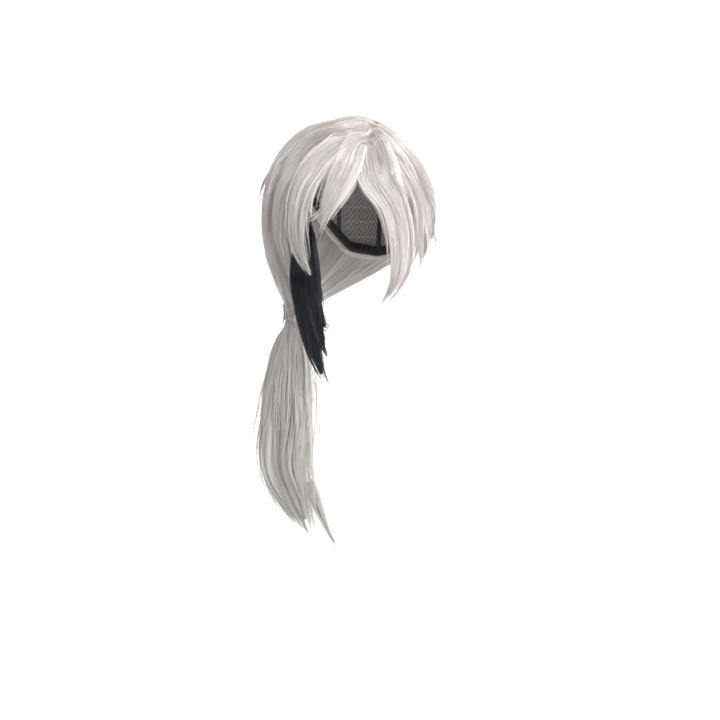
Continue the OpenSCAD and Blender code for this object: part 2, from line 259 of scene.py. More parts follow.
def ramp(nt, source, stops):
    r = node(nt, "ShaderNodeValToRGB")
    r.color_ramp.elements[0].position, r.color_ramp.elements[0].color = stops[0][0], (*stops[0][1], 1)
    r.color_ramp.elements[1].position, r.color_ramp.elements[1].color = stops[-1][0], (*stops[-1][1], 1)
    for at, colour in stops[1:-1]:
        e = r.color_ramp.elements.new(at)
        e.color = (*colour, 1)
    nt.links.new(source, r.inputs["Fac"])
    return r.outputs["Color"]


def attribute(nt, name):
    return node(nt, "ShaderNodeAttribute", attribute_name=name).outputs["Fac"]


def surface_coordinates(nt, across, lengthwise):
    """Coordinates that run across the fibres and along them, from the two values at every point."""
    join = node(nt, "ShaderNodeCombineXYZ")
    nt.links.new(attribute(nt, "tone"), join.inputs["X"])
    nt.links.new(attribute(nt, "along"), join.inputs["Y"])
    stretch = node(nt, "ShaderNodeVectorMath", {1: (across, lengthwise, 1.0)}, operation="MULTIPLY")
    nt.links.new(join.outputs["Vector"], stretch.inputs[0])
    return stretch.outputs["Vector"]


def weighted_sum(nt, a, weight_a, b, weight_b):
    part = node(nt, "ShaderNodeMath", {1: weight_b}, operation="MULTIPLY")
    nt.links.new(b, part.inputs[0])
    total = node(nt, "ShaderNodeMath", {1: weight_a}, operation="MULTIPLY_ADD")
    nt.links.new(a, total.inputs[0])
    nt.links.new(part.outputs["Value"], total.inputs[2])
    return total.outputs["Value"]


def add_bump(nt, b, source, strength, distance):
    bump = node(nt, "ShaderNodeBump", {"Strength": strength, "Distance": distance})
    nt.links.new(source, bump.inputs["Height"])
    nt.links.new(bump.outputs["Normal"], b.inputs["Normal"])


def fibre_material(name, stops, rough, specular):
    """Single fibres: each has its own shade, and a slow change of shade along it."""
    m, nt, b = shader(name, rough, specular)
    drift = node(nt, "ShaderNodeTexNoise", {"Scale": 3.0, "Detail": 2.0})
    nt.links.new(surface_coordinates(nt, 40.0, 1.5), drift.inputs["Vector"])
    shade = weighted_sum(nt, attribute(nt, "tone"), 0.45, drift.outputs["Fac"], 0.55)
    nt.links.new(ramp(nt, shade, stops), b.inputs["Base Color"])
    return m


def mass_material(name, stops, rough):
    """The packed fibres under the surface ones, coloured darker than them as painted shade: fine streaks that
    run root to tip, cut in as bump.
    """
    m, nt, b = shader(name, rough, 0.35, 0.15)
    streak = node(nt, "ShaderNodeTexNoise", {"Scale": 1.0, "Detail": 5.0, "Roughness": 0.7})
    nt.links.new(surface_coordinates(nt, 70.0, 1.2), streak.inputs["Vector"])
    nt.links.new(ramp(nt, streak.outputs["Fac"], stops), b.inputs["Base Color"])
    add_bump(nt, b, streak.outputs["Fac"], 0.6, 0.0015)
    return m


# Shades of the fibres and of the imported middle from dark to light, then roughness and specular of the
# fibres and roughness of the middle. The middle's shades are darker than the fibres': painted shade of the
# hair packed under them
HAIR = {
    "white": ([(0.46, 0.42, 0.41), (0.62, 0.58, 0.565), (0.76, 0.73, 0.715)],
              [(0.36, 0.33, 0.32), (0.62, 0.58, 0.565)], 0.27, 0.7, 0.42),
    # The tail's shades are the white hair's made darker and greyer: painted shade of the low-hanging tail
    "tail": ([(0.42, 0.395, 0.375), (0.57, 0.545, 0.52), (0.72, 0.70, 0.675)],
             [(0.34, 0.32, 0.305), (0.55, 0.525, 0.505)], 0.27, 0.7, 0.42),
    "black": ([(0.004, 0.006, 0.009), (0.010, 0.013, 0.018), (0.026, 0.032, 0.042)],
              [(0.004, 0.005, 0.006), (0.012, 0.014, 0.017)], 0.36, 0.42, 0.45),
}
FIBRES = {
    kind: [fibre_material(f"{kind}_fibre", list(zip((0.15, 0.5, 0.85), shades)), rough, specular),
           mass_material(f"{kind}_mass", list(zip((0.3, 0.7), packed)), packed_rough)]
    for kind, (shades, packed, rough, specular, packed_rough) in HAIR.items()
}
white_fibre, white_mass = FIBRES["white"]

# ---------------------------------------------------------------- locks

# The parting, from the whorl above the forehead back over the crown
PART = [(28, -70, 72), (25, -54, 86), (20, -30, 98), (13, -4, 106), (7, 26, 106), (2, 54, 96)]
PART_OFF = 6.5
# Roots start this far on the other side of the parting, under the hair that crosses it
ROOT_UNDER = 12.0


def curve(points, n):
    """n points evenly spaced on a smooth curve through rows of values; the first three are x, y, z."""
    p = np.asarray(points, float)
    out = []
    for i in range(len(p) - 1):
        a, b, c, d = p[max(i - 1, 0)], p[i], p[i + 1], p[min(i + 2, len(p) - 1)]
        t = np.linspace(0, 1, 12, endpoint=False)[:, None]
        out.append(0.5 * (2 * b + (c - a) * t + (2 * a - 5 * b + 4 * c - d) * t ** 2
                          + (3 * b - a - 3 * c + d) * t ** 3))
    out = np.concatenate(out + [p[-1:]])
    step = np.concatenate([[0], np.cumsum(np.linalg.norm(np.diff(out[:, :3], axis=0), axis=1))])
    at = np.linspace(0, step[-1], n)
    return np.stack([np.interp(at, step, out[:, k]) for k in range(out.shape[1])], 1)


part_line = pushed(curve(PART, 60), PART_OFF)


def part_pt(s):
    """The point at share s of the parting."""
    at = np.clip(np.asarray(s, float), 0, 1) * (len(part_line) - 1)
    k = np.arange(len(part_line))
    return np.stack([np.interp(at, k, part_line[:, c]) for c in range(3)], -1)


def over_head(a, b, n):
    """n points over the head from a to b, which hug it at the distances that the two ends have."""
    t = np.linspace(0, 1, n)[:, None]
    ends = distance_off(np.array([a, b], float))
    off = ends[0] + (ends[1] - ends[0]) * t[:, 0]
    return pushed(np.asarray(a) + (np.asarray(b) - np.asarray(a)) * t, off)


# How much a lock's edges bend back to follow the head: the curvature of its cross-section, per mm
BOW = 1 / 180
# Half width and half thickness of a lock at its root, and the stations along it
ROOT_HALF = 17
ROOT_THICK = 2.2
STATIONS = 60


class Path:
    """A lock's centre line with its frame and size at evenly spaced stations."""

    def __init__(self, guide, start=None, face=None, bow=BOW):
        guide = [tuple(g) for g in guide]
        if start is not None:
            a = part_pt(start)
            aim = unit(np.array(guide[0][:3]) - a)
            a = pushed(a - aim * ROOT_UNDER, PART_OFF - 2.5)
            mid = over_head(a, guide[0][:3], 5)[:-1]
            w = np.linspace(0, 1, 5)[:-1]
            rows = [(*m, ROOT_HALF + (guide[0][3] * 1.15 - ROOT_HALF) * k,
                     ROOT_THICK + (guide[0][4] - ROOT_THICK) * k) for m, k in zip(mid, w)]
            guide = rows + guide
        g = curve(guide, STATIONS)
        self.c, self.half, self.thick = g[:, :3], g[:, 3], g[:, 4]
        t = unit(np.gradient(self.c, axis=0))
        low = np.clip(self.c[:, 2], -60, 30)
        out = unit(self.c - np.stack([0 * low, 0 * low, low], 1))
        if face is not None:
            hang = smooth(-self.c[:, 2], -10, 50)[:, None]
            out = unit(out * (1 - hang) + unit(np.asarray(face, float)) * hang)
        out = out - (out * t).sum(1)[:, None] * t
        self.n = unit(out)
        self.b = np.cross(t, self.n)
        self.bow = bow
        self.root = start
        self.length = np.linalg.norm(np.diff(self.c, axis=0), axis=1).sum()

    def at(self, t, u, v):
        """Points at share t of the length, u across and v outwards, in half widths and half thicknesses."""
        k = np.clip(t, 0, 1) * (STATIONS - 1)
        i = np.arange(STATIONS)

        def pick(a):
            return np.stack([np.interp(k, i, a[:, c]) for c in range(a.shape[1])], -1)

        half = np.interp(k, i, self.half)[..., None]
        thick = np.interp(k, i, self.thick)[..., None]
        b, n = unit(pick(self.b)), unit(pick(self.n))
        across = half * u[..., None]
        return pick(self.c) + b * across + n * (thick * v[..., None] - self.bow * across ** 2), b, n

    def tuft(self, side, share, end, lift, fan):
        """A narrower path inside this one: side in half widths, share of its width, and where it ends."""
        small = object.__new__(Path)
        small.bow = self.bow
        small.root = self.root
        t = np.linspace(0, end, STATIONS)
        u = np.full(STATIONS, side) * (1 + fan * smooth(t, 0.3, 1.0))
        v = lift * smooth(t, 0.15, 0.5)
        small.c, small.b, small.n = self.at(t, u, v)
        k = t * (STATIONS - 1)
        i = np.arange(STATIONS)
        narrow = 1 - 0.9 * smooth(t / end, 0.55, 1.0) ** 1.5
        small.half = np.maximum(np.interp(k, i, self.half) * share * narrow, 0.8)
        small.thick = np.maximum(np.interp(k, i, self.thick) * (0.6 + 0.4 * share) * narrow, 0.7)
        small.length = self.length * end
        return small


def grow(build, path, rng, count, width=0.34, rings=18, spread=1.0, clumps=6, pinch=0.7, ragged=0.16,
         wave=0.3, sway=1.6, shell=(0.55, 1.0), stray=0.03, over=0.5, reach=7.0):
    """Fibres along a lock. They lie near its surface, gather into clumps and end raggedly.

    width is in mm; pinch is how far a clump gathers, ragged how unequal the ends are; wave and sway move
    single fibres and whole clumps, in mm; shell is how deep they lie; a share stray leaves the lock by
    about reach mm; a share over is rooted in the parting."""
    u = rng.uniform(-1, 1, count)
    side = np.where(rng.random(count) < 0.72, 1.0, -1.0)
    depth = rng.uniform(*shell, count)
    lift = side * np.sqrt(np.clip(1 - u * u, 0, 1)) * depth
    centres = np.sort(rng.uniform(-0.95, 0.95, clumps))
    which = np.abs(u[:, None] - centres[None] + rng.normal(0, 0.06, (count, clumps))).argmin(1)
    clump_end = 1 - ragged * rng.random(clumps) ** 1.3
    clump_end[rng.integers(0, clumps)] = 1.0
    t0 = rng.uniform(0.0, 0.06, count)
    t1 = np.clip(clump_end[which] * (1 - ragged * 0.7 * rng.random(count) ** 2), 0.2, 1)
    s = np.linspace(0, 1, rings)[None]
    t = t0[:, None] + (t1 - t0)[:, None] * s
    gather = smooth(t, 0.3, 1.0) * pinch
    phase = rng.uniform(0, 2 * np.pi, (clumps, 2))[which]
    push = rng.normal(0, 1, clumps)[which][:, None]
    uc = centres[which][:, None] + 0.10 * push * t ** 2
    ut = (u[:, None] + (uc - u[:, None]) * gather) * spread
    vt = lift[:, None] * (1 - 0.35 * gather)
    p, b, n = path.at(t, ut, vt)
    run = t * path.length / 60
    p = p + b * (sway * np.sin(run * 1.3 + phase[:, :1]) * smooth(t, 0.1, 0.6))[..., None]
    p = p + n * (sway * 0.6 * np.sin(run * 1.1 + phase[:, 1:]) * smooth(t, 0.1, 0.6))[..., None]
    own = rng.uniform(0, 2 * np.pi, (count, 2))
    pace = rng.uniform(1.5, 4.0, (count, 1))
    p = p + b * (wave * np.sin(run * pace + own[:, :1]))[..., None]
    p = p + n * (wave * 0.6 * np.sin(run * pace * 0.8 + own[:, 1:]))[..., None]
    if path.root is not None and over:
        s_root = path.root + rng.uniform(-0.05, 0.05, count)
        root = pushed(part_pt(s_root), PART_OFF + rng.uniform(0.5, 2.0, count))
        stay = (1 - smooth(t, 0.0, 22.0 / path.length)) * (rng.random((count, 1)) < over)
        p = p + (root[:, None] - p) * stay[..., None]
    loose = (rng.random(count) < stray)[:, None]
    drift = rng.normal(0, 1, (count, 1)) * smooth(s, 0.25, 1.0) * loose
    p = p + b * (drift * reach)[..., None] + n * (np.abs(drift) * reach / 2)[..., None]
    size = width * rng.uniform(0.6, 1.25, count)[:, None] * np.where(loose, 0.4, 1.0)
    taper = (1 - 0.85 * smooth(s, 0.45, 1.0)) * (0.6 + 0.4 * smooth(s, 0.0, 0.12))
    facing = n + b * (0.55 * ut)[..., None] + rng.normal(0, 0.22, (count, 1, 3))
    clump_tone = rng.uniform(0.25, 0.75, clumps)[which]
    tone = np.clip(0.5 * clump_tone + 0.5 * rng.random(count), 0, 1)
    add_fibres(build, p, size * taper, unit(facing), 0, tone)


def add_core(build, path, rng, scale, around=20):
    """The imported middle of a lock: a closed body with grooves that run along it."""
    rings, end = 36, 0.93
    t = np.linspace(0.0, end, rings)
    a = np.linspace(0, 2 * np.pi, around, endpoint=False)
    groove = 1 + 0.09 * np.interp(a, np.linspace(0, 2 * np.pi, 14), np.r_[rng.uniform(-1, 1, 13), 0])
    tt, aa = np.meshgrid(t, a, indexing="ij")
    shrink = (scale * groove)[None] * (1 - 0.5 * smooth(tt, 0.75, end))
    p, _, _ = path.at(tt, np.cos(aa) * shrink, np.sin(aa) * shrink)
    quads, tris = ring_faces(1, rings, around)
    build.add(p.reshape(-1, 3), quads, tris, 1, (aa / (2 * np.pi)).ravel(), tt.ravel() * path.length / 60)


def make_lock(name, guides, seed, count, kind="white", core=0.7, tufts=3, short=0.12, fan=0.15,
              wisps=(-1, -0.5, 0.6, 1), **grow_with):
    """One lock of hair, or several that belong together: a packed middle, fibres all over it, tufts with
    tips of their own, finer loose fibres, and thin wisps that leave it along its edges."""
    rng = np.random.default_rng(seed)
    build = Build()
    for path in guides:
        if core:
            add_core(build, path, rng, core)
        grow(build, path, rng, int(count * (0.4 if tufts else 1.0)), **grow_with)
        ends = 1 - short * rng.random(max(tufts, 1))
        if tufts:
            ends[rng.integers(0, tufts)] = 1.0
        for k in range(tufts):
            side = -0.6 + 1.2 * (k + 0.5 * rng.normal(0, 0.3)) / max(tufts - 1, 1)
            small = path.tuft(side, 0.9 / tufts + 0.16, ends[k], rng.uniform(0.1, 0.75), fan)
            add_core(build, small, rng, 0.75, around=12)
            grow(build, small, rng, int(count * 0.75 / tufts), **{**grow_with, "clumps": 3, "ragged": 0.12})
        slim = {**grow_with, "width": 0.18, "spread": 1.06, "shell": (0.95, 1.35), "stray": 0.2}
        grow(build, path, rng, int(count * 0.2), **slim)
        for side in wisps:
            side = side * rng.uniform(0.85, 1.1)
            end, lift, spread = rng.uniform(0.72, 0.97), rng.uniform(0.0, 0.8), rng.uniform(0.1, 0.45)
            thin = path.tuft(side, 0.08, end, lift, spread)
            slim.update(width=0.22, clumps=1, stray=0.0, ragged=0.25, over=0)
            grow(build, thin, rng, 26, **slim)
    return build.finish(name, FIBRES[kind])


def put(piece, body, slot, *nodes):
    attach(piece, body)
    if nodes:
        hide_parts(*nodes)
    return piece


# Guides: x, y, z, half width, half thickness, from where the lock leaves the head to its tip
FACE_LOCK = [(36, -76, 59, 19, 3.5), (42, -86, 38, 25, 4.5), (47, -90, 20, 25, 5), (56, -86, 2, 21, 5.5),
             (63, -82, -15, 19, 6), (69, -76, -50, 17, 6), (67, -73, -88, 14, 5), (58, -75, -112, 8, 3.5),
             (44, -78, -131, 2, 1.5)]
SIDE_LOCK_LEFT = [(53, -44, 62, 14, 3), (73, -35, 32, 17, 4), (84, -17, -6, 17, 4.5),
                  (85, 4, -40, 13, 4), (77, 24, -60, 9, 4), (68, 38, -72, 3, 2)]
FLICK_LEFT = [(60, 4, 66, 14, 3), (76, 14, 37, 17, 4), (83, 28, 4, 15, 4.5), (84, 41, -20, 9, 4),
              (80, 51, -45, 2, 1.5)]
TEMPLE_LEFT = [(50, -60, 58, 13, 3), (68, -53, 32, 13, 3.5), (80, -41, -2, 11, 4), (82, -32, -34, 10, 4),
               (78, -22, -60, 8, 3), (70, -12, -78, 2, 1.5)]
EAR_COVER = [(76, 4, 38, 22, 3), (83, 8, -2, 30, 3), (80, 12, -36, 34, 3.5), (76, 18, -62, 28, 3),
             (72, 24, -86, 8, 1.5)]
FRINGE_POINT = [(17, -87, 59, 14, 4), (11, -98, 36, 17, 5), (1, -106, 10, 17, 5), (-10, -112, -17, 12, 4),
                (-19, -114, -46, 2, 1)]
FRINGE_INNER = [(-8, -92, 55, 14, 4), (-26, -99, 36, 16, 5), (-45, -96, 8, 17, 5.5), (-54, -93, -28, 16, 5.5),
                (-52, -91, -62, 13, 4), (-38, -89, -94, 2, 1.5)]
FRINGE_OUTER = [(0, -80, 74, 16, 4), (-32, -79, 66, 21, 5), (-63, -70, 38, 24, 6), (-82, -62, 0, 24, 7),
                (-88, -56, -45, 19, 6), (-80, -48, -85, 11, 4), (-72, -42, -110, 2, 1.5)]
SIDE_FRONT = [(-26, -38, 90, 20, 3), (-58, -40, 80, 27, 6), (-90, -36, 52, 28, 8), (-108, -32, 12, 27, 8),
              (-114, -28, -40, 22, 8), (-107, -22, -88, 14, 6), (-98, -18, -124, 3, 2)]
SIDE_FRONT_COVER = [(-26, -16, 94, 24, 3), (-56, -16, 88, 30, 5), (-88, -14, 60, 30, 6),
                    (-106, -12, 32, 20, 5), (-114, -10, 8, 4, 2)]
SIDE_REAR = [(-24, 12, 95, 20, 3), (-58, 14, 88, 27, 6), (-93, 16, 62, 29, 8), (-114, 14, 20, 29, 8),
             (-117, 12, -35, 26, 8), (-112, 20, -85, 22, 8), (-106, 36, -128, 11, 8), (-106, 46, -152, 8, 7)]
SIDE_REAR_COVER = [(-22, 36, 92, 24, 3), (-54, 38, 86, 30, 5), (-86, 40, 62, 30, 6), (-106, 40, 32, 22, 5),
                   (-116, 42, 2, 4, 2)]
FLICK_RIGHT = [(-24, 54, 86, 16, 4), (-66, 58, 74, 22, 5), (-106, 60, 58, 20, 6), (-134, 60, 40, 14, 7),
               (-149, 60, 22, 8, 6), (-152, 58, 8, 2, 1.5)]
BACK_LOCKS = [
    [(34, 68, 63, 13, 4), (50, 80, 35, 18, 4.5), (60, 91, -4, 18, 5), (68, 104, -34, 10, 4),
     (76, 113, -54, 2, 1.5)],
    [(12, 84, 67, 13, 4), (20, 102, 37, 20, 5), (22, 120, -6, 19, 5.5), (24, 129, -38, 10, 4),
     (26, 139, -60, 2, 1.5)],
    [(-17, 86, 70, 13, 4), (-26, 104, 40, 20, 5), (-28, 118, -4, 19, 5.5), (-32, 127, -40, 10, 4),
     (-36, 137, -64, 2, 1.5)],
    [(-46, 70, 66, 13, 4), (-66, 82, 40, 20, 5), (-78, 94, -2, 19, 5.5), (-87, 104, -34, 10, 4),
     (-97, 113, -56, 2, 1.5)],
]
BLACK_LOCK = [(-60, -68, -6, 5, 2), (-57, -69, -15, 8, 3), (-53, -69, -26, 9, 4), (-52, -70, -60, 15, 5.5),
              (-50, -71, -100, 19, 6.5), (-47, -72, -140, 17, 6), (-42, -73, -175, 13, 5),
              (-32, -76, -205, 8, 4), (-19, -80, -226, 2, 1.5)]
BLACK_UPPER = [(-48, -70, -50, 8, 4), (-44, -72, -95, 10, 4), (-37, -74, -130, 9, 4), (-28, -77, -150, 6, 3),
               (-17, -79, -160, 2, 1)]
BLACK_MIDDLE = [(-46, -74, -80, 8, 3), (-38, -76, -130, 9, 4), (-30, -78, -165, 6, 3),
                (-19, -80, -192, 1.5, 1)]
BLACK_FACE = (-0.25, -1, 0)
TAIL = [(-106, 46, -142, 8, 7), (-106, 46, -160, 10, 9), (-110, 46, -188, 25, 12), (-113, 47, -240, 36, 18),
        (-114, 47, -290, 38, 18), (-118, 45, -345, 41, 17), (-106, 44, -388, 34, 13), (-90, 40, -420, 22, 9),
        (-80, 38, -441, 13, 4)]
TAIL_WISP = [(-84, 43, -370, 8, 5), (-70, 41, -402, 6, 4.5), (-56, 36, -430, 3, 2.5), (-42, 32, -454, 1, 1)]
CROSSING = [
    [(-4, -107, 12, 1.2, 1), (-11, -111, -7, 1.6, 1), (-21, -112, -20, 1.4, 1), (-33, -110, -27, 1, 0.8),
     (-45, -104, -29, 0.6, 0.5)],
    [(-2, -107, 6, 1, 0.8), (-12, -112, -14, 1.2, 0.8), (-25, -113, -27, 1, 0.8), (-40, -109, -33, 0.5, 0.4)],
    [(-20, -105, 20, 1, 0.8), (-30, -107, -4, 1.4, 1), (-32, -107, -28, 1, 0.8), (-27, -108, -46, 0.4, 0.4)],
    [(34, -92, 22, 1.2, 1), (44, -93, 4, 1.4, 1), (50, -92, -18, 1, 0.8), (51, -90, -44, 0.4, 0.4)],
]
TAIL_FACE = (-0.26, -0.96, 0)
# The middle of the tie that holds the tail
KNOT = np.array([-106.0, 46.0, -149.5])


def front_locks():
    rows = [
        ("fringe_point", "fringe_point", FRINGE_POINT, 0.0, 11, 760, 5, 0.15,
         (0.026, -0.080, 0.066), (0.021, -0.094, 0.044)),
        ("fringe_right_inner", "fringe_right", FRINGE_INNER, 0.03, 12, 860, 6, 0.2,
         (0.004, -0.088, 0.060), (-0.014, -0.097, 0.044)),
        ("face_lock_left", "face_lock_left", FACE_LOCK, 0.0, 13, 860, 6, 0.25,
         (0.038, -0.070, 0.062), (0.046, -0.080, 0.040)),
    ]
    for name, body, guide, root, seed, count, clumps, ragged, start, end in rows:
        piece = make_lock(name, [Path(guide, root)], seed, count, clumps=clumps, ragged=ragged)
        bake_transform(piece)
        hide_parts(name)
    loose = (("crossing_strand_1", 0, "fringe_point"), ("crossing_strand_2", 1, "fringe_point"),
             ("crossing_strand_3", 2, "fringe_right"), ("crossing_strand_4", 3, "face_lock_left"))
    for name, i, body in loose:
        strand = make_lock(name, [Path(CROSSING[i], bow=0)], 14 + i, 22, core=0, tufts=0, wisps=(), width=0.2,
                           clumps=2, ragged=0.3, sway=0.5, stray=0)
        put(strand, body, "white_fibre")


def between(a, b, inward=5.0, shorter=0.85):
    """A shorter lock that fills the gap between two neighbours, nearer to the head."""
    mid = (np.array(a, float) + np.array(b, float)) / 2
    mid[:, :2] -= inward * unit(mid[:, :2])
    mid[-2:, 2] = mid[-3, 2] + (mid[-2:, 2] - mid[-3, 2]) * shorter
    mid[:-1, 3] += 3
    return mid


def gather_at_knot(piece, *nodes):
    """Hair that is held by the cap at its roots and by the tie at its end: bakes its placement into its mesh
    and hides its CAD parts; it is attached to no body.
    """
    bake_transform(piece)
    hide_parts(*nodes)


def nape_lines(phi, lift, drop, t):
    """Lines from the cap's rim round the neck to the tie: phi, lift and drop (n,), t (m,) -> (n, m, 3)."""
    root = head_pt(rim(phi) - 6, phi, 6.0 + 0.4 * lift)
    azimuth = np.degrees(np.arctan2(root[:, 0], -root[:, 1])) % 360
    knot_azimuth = math.degrees(math.atan2(KNOT[0], -KNOT[1])) % 360
    radius = np.hypot(root[:, 0], root[:, 1])
    knot_radius = math.hypot(KNOT[0], KNOT[1])
    a = np.radians(azimuth[:, None] + (knot_azimuth - azimuth)[:, None] * t)
    fade = 1 - smooth(t, 0.6, 1.0) * 0.65
    r = radius[:, None] + (knot_radius - radius)[:, None] * t - 5 * np.sin(np.pi * t) + lift[:, None] * fade
    sag = drop[:, None] * fade * smooth(t, 0, 0.4)
    z = root[:, 2:] + (KNOT[2] - root[:, 2:]) * (0.75 * t + 0.25 * t * t) + sag
    return np.stack([r * np.sin(a), -r * np.cos(a), z], -1)


def nape():
    """The lower back hair: one sheet that runs from ear to ear round the neck into the tie."""
    rng = np.random.default_rng(41)
    b = Build()
    around, along = 60, 40
    phi = np.linspace(64, 262, around)
    t = np.linspace(0, 0.96, along)
    outer = nape_lines(phi, np.full(around, 3.5), np.zeros(around), t)
    inner = nape_lines(phi, np.full(around, 0.5), np.zeros(around), t)
    tone = np.tile(np.repeat(phi / 30, along), 2)
    b.add(np.concatenate([outer.reshape(-1, 3), inner.reshape(-1, 3)]), sheet_faces(around, along), (), 1,
          tone, np.tile(t * 3, 2 * around))
    # Outer, inner and loose fibres: how many, how wide, and how far they lift off the line
    for count, width, low, high in ((3000, 0.36, 2.5, 6.5), (1000, 0.34, -1.2, 0.8), (260, 0.16, 4.0, 9.0)):
        phi = rng.uniform(60, 266, count)
        group = np.floor((phi - 60) / 9).astype(int)
        waver = rng.normal(0, 2.0, 32)[group]
        line = nape_lines(phi, rng.uniform(low, high, count), waver + rng.normal(0, 1.6, count),
                          np.linspace(0, 1, 22))
        s = np.linspace(0, 1, 22)[None]
        bend = np.sin(2.2 * np.pi * s + rng.uniform(0, 6.3, 32)[group][:, None]) * np.sin(np.pi * s)
        line[..., 2] += 1.6 * bend
        facing = unit(line * np.array([1, 1, 0]) * (1 if low > 0 else -1) + rng.normal(0, 12, (count, 1, 3)))
        half = width * rng.uniform(0.6, 1.25, (count, 1)) * (0.5 + 0.5 * smooth(s, 0, 0.1))
        tone = np.clip(0.5 * rng.uniform(0.25, 0.75, 32)[group] + 0.5 * rng.random(count), 0, 1)
        add_fibres(b, line, half, facing, 0, tone)
    # Loose strands that sag below the sheet's lower edge
    count = 90
    phi = np.where(rng.random(count) < 0.6, rng.uniform(64, 76, count), rng.uniform(250, 262, count))
    line = nape_lines(phi, rng.uniform(-1, 5, count), -10 * rng.random(count) ** 1.5, np.linspace(0, 1, 22))
    half = 0.26 * np.ones((count, 1)) * (0.5 + 0.5 * smooth(np.linspace(0, 1, 22)[None], 0, 0.1))
    add_fibres(b, line, half, unit(line * np.array([1, 1, 0])), 0, rng.random(count))
    gather_at_knot(b.finish("nape_sweep", [white_fibre, white_mass]), "nape_sweep_left", "nape_sweep_right")


def cap_locks():
    rows = [
        ("fringe_right_outer", [(FRINGE_OUTER, 0.12)], 800, 21),
        ("side_lock_right_front", [(SIDE_FRONT, 0.3), (SIDE_FRONT_COVER, 0.4)], 850, 22),
        ("flick_right", [(FLICK_RIGHT, 0.85)], 700, 24),
        ("side_lock_left", [(TEMPLE_LEFT, 0.08), (SIDE_LOCK_LEFT, 0.22), (EAR_COVER, 0.35)], 600, 25),
        ("flick_left", [(FLICK_LEFT, 0.5)], 650, 26),
    ]
    for name, guides, count, seed in rows:
        paths = [Path(guide, start) for guide, start in guides]
        put(make_lock(name, paths, seed, count), "cap", "white_fibre", name)
    rear = make_lock("side_lock_right_rear", [Path(SIDE_REAR, 0.6)], 23, 1300, tufts=0, ragged=0.02,
                     pinch=0.3)
    gather_at_knot(rear, "side_lock_right_rear")
    cover = make_lock("side_cover_right_rear", [Path(SIDE_REAR_COVER, 0.7)], 27, 800)
    put(cover, "cap", "white_fibre", "side_lock_right_rear")
    for i, guide in enumerate(BACK_LOCKS):
        name = f"back_lock_{i + 1}"
        paths = [Path(guide, 0.9)]
        if i:
            paths.append(Path(between(guide, BACK_LOCKS[i - 1]), 0.95))
        put(make_lock(name, paths, 30 + i, 650), "cap", "white_fibre", name)


def black():
    guides = [Path(g, face=BLACK_FACE) for g in (BLACK_LOCK, BLACK_UPPER, BLACK_MIDDLE)]
    piece = make_lock("black_lock", guides, 51, 520, kind="black", clumps=5, ragged=0.25, pinch=0.8)
    put(piece, "black_lock", "black_fibre", "black_lock")


def tail():
    # The tail, its wisp and the knot take the darker tail shades: painted shade on the same white hair
    main = make_lock("tail_hair", [Path(TAIL, face=TAIL_FACE, bow=0)], 61, 1900, kind="tail", clumps=16,
                     sway=4.5, ragged=0.1, pinch=0.4, rings=28, tufts=7, short=0.3, fan=0.05, wave=0.8,
                     stray=0.02, reach=2)
    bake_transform(main)
    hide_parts("tail_hair")
    wisp = make_lock("tail_wisp", [Path(TAIL_WISP, face=TAIL_FACE)], 62, 160, kind="tail", clumps=2,
                     sway=1.0, ragged=0.1)
    put(wisp, "tail", "white_fibre", "tail_wisp")
    knot_path = Path([(-106, 44, -130, 13, 11), (-106, 45, -142, 10, 9), (-106, 46, -150, 9, 9),
                      (-106, 46, -158, 10, 9), (-106, 46, -172, 13, 11)], face=TAIL_FACE, bow=0)
    knot = make_lock("hair_knot", [knot_path], 63, 420, kind="tail", clumps=4, ragged=0.02, pinch=0.1,
                     core=0.9, tufts=0)
    put(knot, "tail_knot", "white_fibre", "hair_knot")


front_locks()
cap_locks()
nape()
black()
tail()

# ---------------------------------------------------------------- the cap

BAND = 7.0
CROWN_EDGE = 38.0
TAB_TOP = 60.0
TAB_FRONT = 66.0
TAB_REAR = 95.0
STAY_PHI = 81.5
NET_THREAD_HALF = 0.27
NET_OFF = 1.3
RIB_OFF = 2.2
WEFT_OFF = 3.1
TRIM_OFF = 0.4
FIRST_WEFT = 44.0
WEFT_STEP = 9.0
WEFT_STARTS = [66, 66, 68, 70, 72, 118, 134, 148]


def fabric(name, dark, light, rough, ribs, weave, height=0.5):
    """Cloth and elastic: cords along the length and a woven grain, in colour and in bump."""
    m, nt, b = shader(name, rough, 0.35)
    spot = surface_coordinates(nt, max(ribs, 1.0), max(weave, 1.0))
    cords = node(nt, "ShaderNodeTexWave", {"Scale": 1.0, "Distortion": 0.6, "Detail": 1.0},
                 wave_type="BANDS", bands_direction="X")
    grain = node(nt, "ShaderNodeTexNoise", {"Scale": 3.0, "Detail": 4.0, "Roughness": 0.65})
    for texture in (cords, grain):
        nt.links.new(spot, texture.inputs["Vector"])
    total = weighted_sum(nt, cords.outputs["Fac"], 0.5, grain.outputs["Fac"], 0.5)
    nt.links.new(ramp(nt, total, [(0.25, dark), (0.75, light)]), b.inputs["Base Color"])
    add_bump(nt, b, total, height, 0.0008)
    return m


